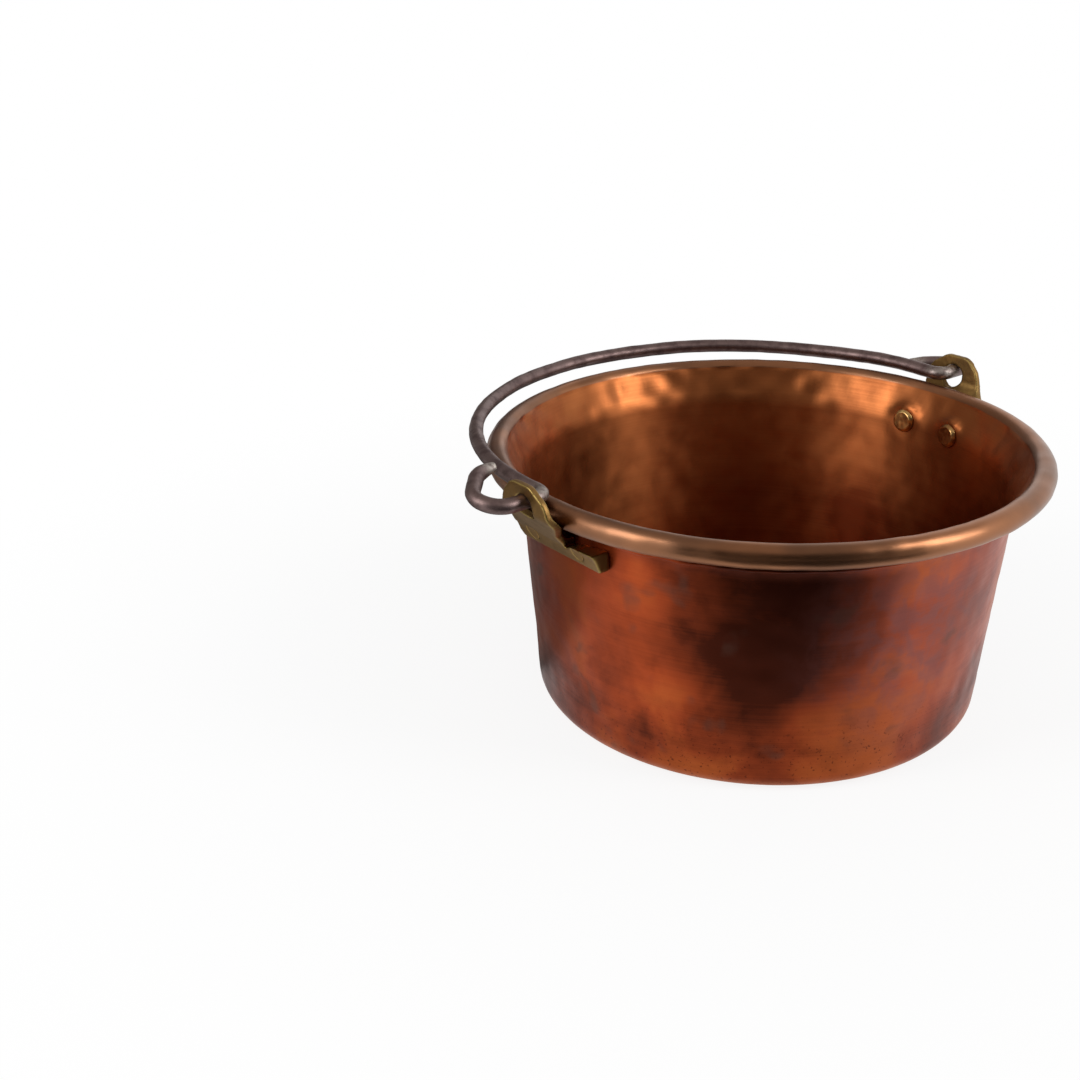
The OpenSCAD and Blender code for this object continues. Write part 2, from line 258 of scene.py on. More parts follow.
def pan_section(size):
    """The copper sheet's section as rows: the point, the outward direction in which a dent
    moves it, its run along the sheet from the bottom's centre, and which part it is on.

    The outer face is a course from the bottom's centre out, round the corner, up the wall
    and out along the flare, where a half-round ridge sqrt(r^2 - s^2) stands proud. The sheet
    then turns clockwise round the rim wire. The rows go up the outer face, round the wire,
    over the cut edge, back over the bead and down the inner face, which is the outer one
    moved to its left by the sheet's thickness.
    """
    upright = math.pi / 2 - size.wall_lean
    flare = math.pi / 2 - size.flare_lean
    bead = np.array([size.rim_radius - size.bead_radius, size.height - size.bead_radius])
    wire = size.bead_radius - size.sheet
    side = np.array([math.cos(size.flare_lean), -math.sin(size.flare_lean)])
    top = bead - side * wire
    meet_z = (top[0] - top[1] * math.tan(size.flare_lean) - size.foot_radius) / (
        math.tan(size.wall_lean) - math.tan(size.flare_lean))
    meet = np.array([size.foot_radius + meet_z * math.tan(size.wall_lean), meet_z])
    cut = size.corner * math.tan(upright / 2)
    bend = size.flare_bend * math.tan((upright - flare) / 2)
    wall = np.linalg.norm(meet - [size.foot_radius, 0]) - cut - bend
    straight = np.linalg.norm(top - meet) - bend
    below_top = (top[1] - bead[1] + size.lip_drop) / math.cos(size.flare_lean)
    fine = 0.25 * MM
    ridge_part = straight - below_top + size.lip_radius + fine
    outer, heading, run = course([0, 0], 0, [
        (size.foot_radius - cut, 0, 3.9 * MM),
        (size.corner * upright, upright, 1.6 * MM),
        (wall, 0, 2.6 * MM),
        (size.flare_bend * (upright - flare), flare - upright, fine * 1.4),
        (ridge_part, 0, fine),
        (straight - ridge_part, 0, 2.0 * MM),
    ])
    left = left_of(heading)
    inner = outer + left * size.sheet
    from_ridge = run - (run[-1] - below_top)
    ridge = np.sqrt(np.clip(size.lip_radius ** 2 - from_ridge ** 2, 0, None))
    outer = outer - left * ridge[:, None]

    start = math.pi - size.flare_lean
    end = start - size.bead_turn

    def around(radius, a, b, count):
        """An arc about the bead's middle, from angle a to b, and the rays to its points."""
        angle = np.linspace(a, b, count)
        ray = np.stack([np.cos(angle), np.sin(angle)], 1)
        return bead + radius * ray, ray

    under_rows, over_rows = 18, 46
    under, under_ray = around(wire, start, end, under_rows)
    over, over_ray = around(size.bead_radius, end, start, over_rows)
    middle = wire + size.sheet / 2
    out = np.array([math.cos(end), math.sin(end)])
    back = np.array([math.sin(end), -math.cos(end)])
    lip_turn = np.linspace(0, math.pi, 7)[1:-1]
    lip = bead + middle * out + size.sheet / 2 * (
        -np.cos(lip_turn)[:, None] * out + np.sin(lip_turn)[:, None] * back)
    rows = np.concatenate([outer, under[1:], lip, over[:-1], inner[::-1]])
    push = np.concatenate([-left, under_ray[1:], np.repeat(out[None], len(lip), 0),
                           over_ray[:-1], -left[::-1]])
    wrapped = run[-1] + middle * np.concatenate([
        np.linspace(0, size.bead_turn, under_rows)[1:], np.full(len(lip), size.bead_turn),
        np.linspace(size.bead_turn, 0, over_rows)[:-1]])
    along = np.concatenate([run, wrapped, run[::-1]])
    counts = [len(outer), len(under) - 1, len(lip), len(over) - 1, len(inner)]
    return rows, push, along, np.repeat([OUTER, UNDER, LIP, OVER, INNER], counts)


def rivet_places():
    """Angle round the pan and height of the four rivets' heads."""
    places = []
    for node in RIVETS:
        low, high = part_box(node)
        middle = (low + high) / 2
        places.append((math.atan2(middle.y, middle.x), middle.z))
    return places


def beaten_sheet(size):
    """The pan's copper sheet: its section turned about Z, so that a point is
    (r cos t, r sin t, z), with both faces moved together by the marks of the hammers.

    A mark is a sum of waves at the point on the sheet's middle. At each rivet the inner
    face alone is beaten flat, onto the line of the wall below the flare, and raised around
    that by a ring of height * exp(-((d - edge) / width)^2), d being the distance to the
    rivet and edge the radius of the flat.
    """
    rows, push, along, kind = pan_section(size)
    columns = 288
    t = np.arange(columns) * 2 * math.pi / columns
    spin = np.stack([np.cos(t), np.sin(t)], 1)
    inner = kind == INNER
    bead = np.isin(kind, (UNDER, LIP, OVER))
    to_middle = np.select([inner, kind == OUTER], [1, -1], 0) * size.sheet / 2
    middle = rows + to_middle[:, None] * push
    places = np.stack([
        middle[:, 0][:, None] * spin[:, 0], middle[:, 0][:, None] * spin[:, 1],
        np.repeat(middle[:, 1][:, None], columns, 1)], -1).reshape(-1, 3)
    small = waves(places, 10 * MM, 18 * MM, 3).reshape(-1, columns)
    broad = waves(places, 55 * MM, 95 * MM, 8).reshape(-1, columns)

    # The marks fade out at the bottom's centre and are faint on the rest of it. On the
    # flare the small ones are deeper and the broad ones shallower
    on_bottom, small_on_bead, broad_on_bead = 0.2, 0.7, 0.6
    wall = on_bottom + (1 - on_bottom) * smooth_step(middle[:, 1], 4 * MM, 16 * MM)
    wall *= smooth_step(middle[:, 0], 8 * MM, 30 * MM)
    flare = smooth_step(middle[:, 1], 118 * MM, 130 * MM)
    small_share = np.where(bead, small_on_bead, wall * (1 + 1.2 * flare))
    broad_share = np.where(bead, broad_on_bead, wall * (1 - 0.5 * flare))
    moved = size.small_marks * small * small_share[:, None]
    moved += size.broad_marks * broad * broad_share[:, None]
    # On the bottom they only rise, so none of them reaches below the floor
    bottom = middle[:, 1] < 3 * MM
    moved[bottom] = -np.abs(moved[bottom])

    flat, edge, ring_width, stain_width = 7.5 * MM, 10.5 * MM, 2.2 * MM, 9 * MM
    seat = size.foot_radius + rows[:, 1] * math.tan(size.wall_lean) - size.sheet
    proud = np.clip(rows[:, 0] - seat, 0, None)[:, None]
    on_wall = (inner & (rows[:, 1] > 50 * MM))[:, None]
    near_rivet = np.zeros_like(moved)
    for angle, height in rivet_places():
        off = (t[None, :] - angle + math.pi) % (2 * math.pi) - math.pi
        away = np.hypot(rows[:, 0][:, None] * off, rows[:, 1][:, None] - height)
        ring = size.rivet_ring * np.exp(-((away - edge) / ring_width) ** 2)
        moved -= on_wall * (smooth_step(away, edge, flat) * proud + ring)
        near_rivet += np.exp(-(away / stain_width) ** 2)

    radius = rows[:, 0][:, None] + push[:, 0][:, None] * moved
    points = np.stack([radius * spin[:, 0], radius * spin[:, 1],
                       rows[:, 1][:, None] + push[:, 1][:, None] * moved], -1)
    count = len(rows) - 2
    poles = np.array([[0, 0, rows[0, 1]], [0, 0, rows[-1, 1]]])
    skin = np.concatenate([poles, points[1:-1].reshape(-1, 3)])
    faces = [
        fan_faces(0, 2, columns, True),
        fan_faces(1, 2 + (count - 1) * columns, columns, False),
        grid_faces(count, columns, 2),
    ]

    def spread(values):
        """Each row's value on all its points, after those of the two poles."""
        return np.concatenate([values[:1], values[-1:], np.repeat(values[1:-1], columns)])

    attributes = {
        "inside": spread(np.where(inner, 1.0, 0.0)),
        "bead": spread(np.where(bead, 1.0, 0.0)),
        "along": spread(along),
        "by_rivet": np.concatenate([[0, 0], np.clip(near_rivet, 0, 1)[1:-1].ravel()]),
    }
    return build_mesh("copper_pan", skin, faces, attributes)


def bail_side(size, side):
    """Half of the bail's centre line in its own plane, from the top of the arch to the near
    or the far tip: a half-round arch, a leg, the bend into the ear, the stub that turns in
    the ear, and the hook's bends and run.

    It comes with its headings, its run, the rod's radius and how much of the hook's lift
    each point has, from 0 at the start of the stub to 1 at its end. The rod thins towards
    the tip, and its end is rounded by sqrt(1 - (1 - u)^2), u going from 0 to 1.
    """
    bend, bend_turn, run_back, tip_bend, tip_turn, tip = (
        getattr(size, f"{side}_{part}")
        for part in ("bend", "turn", "run", "tip_bend", "tip_turn", "tip"))
    fine, taper, rounding = 0.8 * MM, 9 * MM, 1.8 * MM
    stub = size.hook_start - size.leg - size.ear_bend
    points, heading, run = course([0, size.leg_length + size.leg], 0, [
        (size.leg * math.pi / 2, -math.pi / 2, 1.2 * MM),
        (size.leg_length - size.ear_bend, 0, fine),
        (size.ear_bend * math.pi / 2, math.pi / 2, fine / 2),
        (stub, 0, fine),
        (bend * bend_turn, bend_turn, fine * 0.6),
        (run_back, 0, fine),
        (tip_bend * tip_turn, tip_turn, fine * 0.6),
        (tip, 0, fine / 4),
    ])
    to_go = run[-1] - run
    radius = size.tip + (size.rod - size.tip) * smooth_step(to_go, 0, tip + taper)
    u = np.clip(to_go / rounding, 0, 1)
    radius = radius * np.sqrt(np.clip(1 - (1 - u) ** 2, 0.02, 1))
    root = size.leg * math.pi / 2 + size.leg_length - size.ear_bend * (1 - math.pi / 2)
    return points, heading, run, radius, smooth_step(run, root, root + stub)


def forged_rod(size):
    """The bail: a section carried along its course, round with four faint hammered flats
    that wander along the rod, r (1 + depth * cos(4 a + wander) - shrink), and dented by
    waves. The shrink keeps the ridges between the flats close to the CAD rod. The arch
    strays up and down, by about 0.25 mm.

    Each hook is turned about its stub by its lift. The plane of the course is then tilted
    with the joint's axis and lifted to its pivot.
    """
    near, far = bail_side(size, "near"), bail_side(size, "far")
    mirror = (np.array([-1, 1]), -1, -1, 1, 1)
    line, heading, run, radius, hooked = (
        np.concatenate([sign * a[:0:-1], b]) for sign, a, b in zip(mirror, near, far))
    to_tip = np.where(run < 0, -run[0], run[-1]) - np.abs(run)
    lift = np.where(run < 0, size.near_lift, size.far_lift) * hooked
    from_middle = np.abs(line[:, 0])

    sides = 28
    count = len(line)
    a = np.arange(sides) * 2 * math.pi / sides
    left = left_of(heading)
    straight = np.stack([line[:, 0], line[:, 1], np.zeros(count)], 1)
    ray = np.stack([
        left[:, 0][:, None] * np.cos(a), left[:, 1][:, None] * np.cos(a),
        np.repeat(np.sin(a)[None], count, 0)], -1)
    skin = straight[:, None] + ray * radius[:, None, None]
    dents = waves(skin.reshape(-1, 3), 7 * MM, 16 * MM, 5).reshape(count, sides)
    wander = waves(straight, 60 * MM, 160 * MM, 21)[:, None]
    bends = waves(straight, 45 * MM, 110 * MM, 12)

    # The rod is calmer where it passes through its ears, 160 mm from the middle
    in_ear = smooth_step(np.abs(from_middle - 160 * MM), 12 * MM, 7 * MM)
    in_ear *= smooth_step(line[:, 1], 12 * MM, 6 * MM)
    calm = (1 - 0.8 * in_ear)[:, None]
    depth, shrink, dent, stray = 0.02, 0.012, 0.05 * MM, 0.25 * MM
    flats = depth * np.cos(4 * a[None] + 0.8 * wander) * calm - shrink
    skin += ray * (radius[:, None] * flats + dent * dents * calm)[..., None]
    arched = smooth_step(line[:, 1], 10 * MM, 40 * MM) * (1 - hooked)
    skin[..., 2] += (stray * bends * arched)[:, None]

    way = np.stack([np.cos(heading), np.sin(heading), np.zeros(count)], 1)
    ends = straight[[0, -1]] + way[[0, -1]] * np.array([[-0.1 * MM], [0.1 * MM]])
    body = np.concatenate([ends, skin.reshape(-1, 3)])
    turned = np.concatenate([lift[[0, -1]], np.repeat(lift, sides)])
    y, z = body[:, 1].copy(), body[:, 2].copy()
    body[:, 1] = y * np.cos(turned) - z * np.sin(turned)
    body[:, 2] = y * np.sin(turned) + z * np.cos(turned)
    axis = Vector(SWING["axis"]).normalized()
    across = Vector((0, 0, 1)).cross(axis).normalized()
    tilt = np.array(Matrix((axis, across, axis.cross(across))))
    body = body @ tilt + np.array(SWING["pos_m"])
    faces = [
        fan_faces(0, 2, sides, True),
        fan_faces(1, 2 + (count - 1) * sides, sides, False),
        grid_faces(count, sides, 2),
    ]

    # Worn at the tips, and in the bends that rub in the ears, 153 mm from the middle
    tip = smooth_step(to_tip, 14 * MM, 3 * MM)
    bend = smooth_step(np.abs(from_middle - 153 * MM), 8 * MM, 2 * MM)
    bend *= smooth_step(line[:, 1], 12 * MM, 5 * MM) * (1 - smooth_step(hooked, 0.3, 0.9))
    worn = np.clip(tip + 0.75 * bend, 0, 1)
    attributes = {"worn": np.concatenate([worn[[0, -1]], np.repeat(worn, sides)])}
    return build_mesh("forged_bail", body, faces, attributes)


def numbers(items, field, width, kind=np.float32):
    """A field of a mesh's items as an array, with a row of a given width for each item."""
    values = np.empty(len(items) * width, kind)
    items.foreach_get(field, values)
    return values.reshape(-1, width)


def worn_copy(name, node, voxel, rounds, grain):
    """A copy of a CAD node with the look of a casting or a hammered head.

    Its mesh is merged and rebuilt on a grid of voxels. Each vertex is then moved half way
    to the mean of its neighbours, as often as rounds says, which rounds the edges. How many
    millimetres it moved inwards is kept as the attribute "edge", and grain is the height of
    the waves, 2.5 mm to 7 mm long, that roughen the skin.
    """
    form = bmesh.new()
    form.from_mesh(frame["nodes"][node].data)
    bmesh.ops.remove_doubles(form, verts=form.verts, dist=MM / 1000)
    mesh = bpy.data.meshes.new(name)
    form.to_mesh(mesh)
    form.free()
    rough = bpy.data.objects.new(name + "_rough", mesh)
    bpy.context.scene.collection.objects.link(rough)
    rebuild = rough.modifiers.new("rebuild", "REMESH")
    rebuild.mode = "VOXEL"
    rebuild.voxel_size = voxel
    depsgraph = bpy.context.evaluated_depsgraph_get()
    mesh = bpy.data.meshes.new_from_object(rough.evaluated_get(depsgraph))
    mesh.name = name
    bpy.data.objects.remove(rough)

    count = len(mesh.vertices)
    points = numbers(mesh.vertices, "co", 3).astype(float)
    normals = numbers(mesh.vertices, "normal", 3).astype(float)
    a, b = numbers(mesh.edges, "vertices", 2, np.int32).T
    degree = np.maximum(np.bincount(np.concatenate([a, b]), minlength=count), 1)[:, None]
    before = points.copy()
    for _ in range(rounds):
        total = np.stack([
            np.bincount(a, points[b, c], count) + np.bincount(b, points[a, c], count)
            for c in range(3)], 1)
        points += (total / degree - points) / 2
    worn = ((before - points) * normals).sum(1)
    points += normals * (grain * waves(points, 2.5 * MM, 7 * MM, 31))[:, None]
    mesh.vertices.foreach_set("co", points.astype(np.float32).ravel())
    set_attributes(mesh, {"edge": worn / MM})
    mesh.update()
    mesh.materials.clear()
    return mesh


COLOUR = {"data_type": "RGBA"}
SMOOTH = {"interpolation_type": "SMOOTHSTEP"}
WHITE = (*linear("#ffffff"), 1)
WARM_WHITE = (*linear("#fff7f1"), 1)


def add(tree, kind, sockets, out=0, **settings):
    """Adds a node of a kind with its settings, fills its sockets by name or number, and
    gives one of its outputs. Another node's output is linked to its socket, and anything
    else is set on it."""
    made = tree.nodes.new(kind)
    for key, value in settings.items():
        setattr(made, key, value)
    for key, value in sockets.items():
        if isinstance(value, bpy.types.NodeSocket):
            tree.links.new(value, made.inputs[key])
        else:
            made.inputs[key].default_value = value
    return made.outputs[out] if made.outputs else None


def new_material(name):
    """An empty material and its node tree."""
    material = bpy.data.materials.new(name)
    material.use_nodes = True
    material.node_tree.nodes.clear()
    return material, material.node_tree


def beaten_copper(colour):
    """Copper sheet, raised and planished by hand and polished round and round.

    Polishing leaves fine rings, which draw the lights out up and down the wall. Oxide has
    browned the skin in soft clouds and greyed it pink in places. It is orange where the
    clouds part, and at the foot, where it is scoured. The dark patch under the bead towards
    -X -Y is both tarnish and a painted reflection of the dark room in front of the pan.
    """
    material, tree = new_material("beaten_copper")
    place = add(tree, "ShaderNodeTexCoord", {}, "Object")
    x = add(tree, "ShaderNodeSeparateXYZ", {0: place})
    y, z = x.node.outputs[1], x.node.outputs[2]
    inside, bead, along, by_rivet = (
        add(tree, "ShaderNodeAttribute", {}, "Fac", attribute_name=name)
        for name in ("inside", "bead", "along", "by_rivet"))

    # Clouds 60 mm and 15 mm wide, specks of 1.6 mm
    clouds = add(tree, "ShaderNodeTexNoise", {
        "Vector": place, "Scale": 1 / (60 * MM), "Detail": 4.0, "Distortion": 0.4})
    mottle = add(tree, "ShaderNodeTexNoise", {
        "Vector": place, "Scale": 1 / (15 * MM), "Detail": 6.0, "Roughness": 0.6,
        "Distortion": 0.3})
    specks = add(tree, "ShaderNodeTexNoise", {
        "Vector": place, "Scale": 1 / (1.6 * MM), "Detail": 3.0})
    # Rings left by polishing, 0.8 mm apart and drawn out to 110 mm round the pan, and
    # brown ones 9 mm apart and drawn out to 200 mm
    flat_along = add(tree, "ShaderNodeCombineXYZ", {0: x, 1: y, 2: along})
    streaks = []
    for apart, drawn_out in ((0.8 * MM, 110 * MM), (9 * MM, 200 * MM)):
        stretched = add(tree, "ShaderNodeVectorMath", {
            0: flat_along, 1: (1 / drawn_out, 1 / drawn_out, 1 / apart)},
            operation="MULTIPLY")
        streaks.append(add(tree, "ShaderNodeTexNoise", {
            "Vector": stretched, "Scale": 1.0, "Detail": 3.0}))
    rings, bands = streaks

    # Outside: browned in clouds, and more so low down. The dark patch under the bead towards
    # -X -Y is tarnish and a painted reflection of the dark room in front of the pan
    reflection_patch_middle = (-89 * MM, -96 * MM, 102 * MM)
    cloud_share = add(tree, "ShaderNodeMapRange", {
        0: clouds, 1: 0.42, 2: 0.7, 4: 0.5}, **SMOOTH)
    mottle_share = add(tree, "ShaderNodeMapRange", {
        0: mottle, 1: 0.45, 2: 0.75, 4: 0.17}, **SMOOTH)
    band_share = add(tree, "ShaderNodeMapRange", {0: bands, 1: 0.4, 2: 0.75, 4: 0.1}, **SMOOTH)
    ring_share = add(tree, "ShaderNodeMapRange", {
        0: rings, 1: 0.35, 2: 0.7, 4: 0.07}, **SMOOTH)
    fine_share = add(tree, "ShaderNodeMath", {
        0: band_share, 1: ring_share}, operation="ADD")
    low = add(tree, "ShaderNodeMapRange", {
        0: z, 1: 5 * MM, 2: 65 * MM, 3: 0.38, 4: 0.0}, **SMOOTH)
    # Painted dark reflection and tarnish: darker within 74 mm of a point under the bead towards
    # -X -Y
    to_reflection_patch = add(tree, "ShaderNodeVectorMath", {
        0: place, 1: reflection_patch_middle}, "Value", operation="DISTANCE")
    front_reflection_and_tarnish = add(tree, "ShaderNodeMapRange", {
        0: to_reflection_patch, 1: 74 * MM, 2: 34 * MM, 4: 0.62}, **SMOOTH)
    brown = cloud_share
    for share in (mottle_share, low, fine_share, front_reflection_and_tarnish):
        brown = add(tree, "ShaderNodeMath", {
            0: brown, 1: share}, operation="ADD", use_clamp=True)
    # Orange where the clouds part, but not in the painted dark reflection at the front
    orange = add(tree, "ShaderNodeMapRange", {0: clouds, 1: 0.53, 2: 0.36, 4: 0.36}, **SMOOTH)
    clear = add(tree, "ShaderNodeMapRange", {0: front_reflection_and_tarnish, 1: 0.0, 2: 0.3, 3: 1.0, 4: 0.0})
    orange = add(tree, "ShaderNodeMath", {0: orange, 1: clear}, operation="MULTIPLY")
    # A mauve bloom towards -Y, broken up by the mottle
    bloom_middle = (-16 * MM, -128 * MM, 84 * MM)
    to_bloom = add(tree, "ShaderNodeVectorMath", {
        0: place, 1: bloom_middle}, "Value", operation="DISTANCE")
    bloom = add(tree, "ShaderNodeMapRange", {
        0: to_bloom, 1: 85 * MM, 2: 15 * MM, 4: 0.7}, **SMOOTH)
    broken = add(tree, "ShaderNodeMapRange", {0: mottle, 1: 0.4, 2: 0.62, 3: 0.35}, **SMOOTH)
    bloom = add(tree, "ShaderNodeMath", {0: bloom, 1: broken}, operation="MULTIPLY")
    # Smudges about 12 mm wide, as wet hands and drips leave
    drips = add(tree, "ShaderNodeTexNoise", {
        "Vector": place, "Scale": 1 / (24 * MM), "Detail": 2.5, "Distortion": 0.2})
    smudges = add(tree, "ShaderNodeMapRange", {0: drips, 1: 0.6, 2: 0.72, 4: 0.5}, **SMOOTH)
    # The foot is scoured up to 8 mm, and pits fade out between 15 mm and 55 mm
    foot = add(tree, "ShaderNodeMapRange", {0: z, 1: 8 * MM, 2: 1 * MM, 4: 0.7}, **SMOOTH)
    pitted = add(tree, "ShaderNodeMapRange", {0: z, 1: 55 * MM, 2: 15 * MM}, **SMOOTH)
    pits = add(tree, "ShaderNodeMapRange", {0: specks, 1: 0.615, 2: 0.68}, **SMOOTH)
    pits = add(tree, "ShaderNodeMath", {0: pits, 1: pitted}, operation="MULTIPLY")
    pit_share = add(tree, "ShaderNodeMath", {0: pits, 1: 0.75}, operation="MULTIPLY")
    outer = (*colour.copper, 1)
    for share, coat in ((brown, colour.tarnish_and_dark_reflection), (orange, colour.heated),
                        (bloom, colour.mauve), (smudges, colour.smudge),
                        (foot, colour.heated), (pit_share, colour.tarnish_and_dark_reflection)):
        outer = add(tree, "ShaderNodeMix", {0: share, 6: outer, 7: (*coat, 1)}, 2, **COLOUR)

    # Inside: an even orange-brown with faint rings, browner round the rivets and low down
    # on the side towards +X
    cloud_stain = add(tree, "ShaderNodeMapRange", {
        0: clouds, 1: 0.4, 2: 0.72, 4: 0.4}, **SMOOTH)
    rivet_stain = add(tree, "ShaderNodeMath", {0: by_rivet, 1: 0.3}, operation="MULTIPLY")
    low_down = add(tree, "ShaderNodeMapRange", {
        0: z, 1: 118 * MM, 2: 45 * MM, 4: 0.7}, **SMOOTH)
    to_side = add(tree, "ShaderNodeMapRange", {0: x, 1: 15 * MM, 2: 90 * MM}, **SMOOTH)
    low_down = add(tree, "ShaderNodeMath", {0: low_down, 1: to_side}, operation="MULTIPLY")
    darkening = cloud_stain
    for share in (fine_share, rivet_stain, low_down):
        darkening = add(tree, "ShaderNodeMath", {
            0: darkening, 1: share}, operation="ADD", use_clamp=True)
    inner = add(tree, "ShaderNodeMix", {
        0: darkening, 6: (*colour.inside, 1), 7: (*colour.dark_inside, 1)}, 2, **COLOUR)

    rim_share = add(tree, "ShaderNodeMapRange", {0: clouds, 1: 0.4, 2: 0.68}, **SMOOTH)
    rim = add(tree, "ShaderNodeMix", {
        0: rim_share, 6: (*colour.bead, 1), 7: (*colour.bead_dark, 1)}, 2, **COLOUR)
    skin = add(tree, "ShaderNodeMix", {0: inside, 6: outer, 7: inner}, 2, **COLOUR)
    skin = add(tree, "ShaderNodeMix", {0: bead, 6: skin, 7: rim}, 2, **COLOUR)

    rough = add(tree, "ShaderNodeMapRange", {0: mottle, 1: 0.35, 2: 0.7, 3: 0.37, 4: 0.47})
    ring_rough = add(tree, "ShaderNodeMapRange", {
        0: rings, 1: 0.3, 2: 0.7, 3: -0.02, 4: 0.02})
    bead_rough = add(tree, "ShaderNodeMath", {0: bead, 1: -0.07}, operation="MULTIPLY")
    for share in (ring_rough, bead_rough):
        rough = add(tree, "ShaderNodeMath", {0: rough, 1: share}, operation="ADD")
    height = add(tree, "ShaderNodeMath", {0: rings, 1: specks}, operation="ADD")
    height = add(tree, "ShaderNodeMath", {0: height, 1: pits}, operation="SUBTRACT")
    # The bump is 0.015 mm high, the depth of a polishing scratch, and less on the bead
    strength = add(tree, "ShaderNodeMapRange", {0: bead, 3: 0.6, 4: 0.15})
    bump = add(tree, "ShaderNodeBump", {
        "Strength": strength, "Distance": 0.015 * MM, "Height": height})
    round_and_round = add(tree, "ShaderNodeTangent", {}, direction_type="RADIAL", axis="Z")
    shader = add(tree, "ShaderNodeBsdfPrincipled", {
        "Base Color": skin, "Metallic": 1.0, "Roughness": rough, "Anisotropic": 0.7,
        "Anisotropic Rotation": 0.25, "Tangent": round_and_round, "Normal": bump})
    add(tree, "ShaderNodeOutputMaterial", {0: shader})
    return material


def cast_brass(colour):
    """Brass cast in sand and left to dull: a smooth khaki skin with a faint 1 mm grain,
    browner in its hollows, and rubbed to olive yellow along its edges."""
    material, tree = new_material("sand_cast_brass")
    place = add(tree, "ShaderNodeTexCoord", {}, "Object")
    edge = add(tree, "ShaderNodeAttribute", {}, "Fac", attribute_name="edge")
    patches = add(tree, "ShaderNodeTexNoise", {
        "Vector": place, "Scale": 1 / (18 * MM), "Detail": 3.0, "Distortion": 0.2})
    dull = add(tree, "ShaderNodeMapRange", {0: patches, 1: 0.42, 2: 0.7, 4: 0.6}, **SMOOTH)
    rubbed = add(tree, "ShaderNodeMapRange", {0: edge, 1: 0.02, 2: 0.2, 4: 0.85}, **SMOOTH)
    hollow = add(tree, "ShaderNodeMapRange", {0: edge, 1: -0.02, 2: -0.2, 4: 0.8}, **SMOOTH)
    skin = (*colour.ear, 1)
    for share, coat in ((dull, colour.ear_dirt), (rubbed, colour.ear_edge),
                        (hollow, colour.ear_dirt)):
        skin = add(tree, "ShaderNodeMix", {0: share, 6: skin, 7: (*coat, 1)}, 2, **COLOUR)
    grain = add(tree, "ShaderNodeTexNoise", {
        "Vector": place, "Scale": 1 / (1 * MM), "Detail": 4.0})
    rough = add(tree, "ShaderNodeMapRange", {0: patches, 1: 0.35, 2: 0.7, 3: 0.42, 4: 0.56})
    bump = add(tree, "ShaderNodeBump", {
        "Strength": 0.7, "Distance": 0.03 * MM, "Height": grain})
    shader = add(tree, "ShaderNodeBsdfPrincipled", {
        "Base Color": skin, "Metallic": 1.0, "Roughness": rough, "Normal": bump})
    add(tree, "ShaderNodeOutputMaterial", {0: shader})
    return material


def rivet_brass(colour):
    """Brass rivets: hammered smooth and yellow inside the pan, the one towards -Y browner,
    and as dull as the ears at their outer ends, which were dressed together with them."""
    material, tree = new_material("hammered_rivet_brass")
    place = add(tree, "ShaderNodeTexCoord", {}, "Object")
    patches = add(tree, "ShaderNodeTexNoise", {
        "Vector": place, "Scale": 1 / (6 * MM), "Detail": 3.0})
    browned = add(tree, "ShaderNodeMapRange", {
        0: patches, 1: 0.45, 2: 0.7, 4: 0.5}, **SMOOTH)
    low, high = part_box("far_rivet_b")
    to_second = add(tree, "ShaderNodeVectorMath", {
        0: place, 1: tuple((low + high) / 2)}, "Value", operation="DISTANCE")
    second = add(tree, "ShaderNodeMapRange", {0: to_second, 1: 16 * MM, 2: 13 * MM, 4: 0.6})
    browned = add(tree, "ShaderNodeMath", {
        0: browned, 1: second}, operation="ADD", use_clamp=True)
    # The outer ends lie more than 133 mm from the pan's axis, and the heads less than 131 mm
    on_plan = add(tree, "ShaderNodeVectorMath", {
        0: place, 1: (1, 1, 0)}, operation="MULTIPLY")
    from_axis = add(tree, "ShaderNodeVectorMath", {0: on_plan}, "Value", operation="LENGTH")
    outer_end = add(tree, "ShaderNodeMapRange", {
        0: from_axis, 1: 131 * MM, 2: 133 * MM}, **SMOOTH)
    skin = (*colour.rivet, 1)
    for share, coat in ((browned, colour.rivet_dirt), (outer_end, colour.ear)):
        skin = add(tree, "ShaderNodeMix", {0: share, 6: skin, 7: (*coat, 1)}, 2, **COLOUR)
    grain = add(tree, "ShaderNodeTexNoise", {
        "Vector": place, "Scale": 1 / (0.9 * MM), "Detail": 4.0})
    rough = add(tree, "ShaderNodeMapRange", {0: outer_end, 3: 0.3, 4: 0.5})
    bump = add(tree, "ShaderNodeBump", {
        "Strength": 0.7, "Distance": 0.02 * MM, "Height": grain})
    shader = add(tree, "ShaderNodeBsdfPrincipled", {
        "Base Color": skin, "Metallic": 1.0, "Roughness": rough, "Normal": bump})
    add(tree, "ShaderNodeOutputMaterial", {0: shader})
    return material


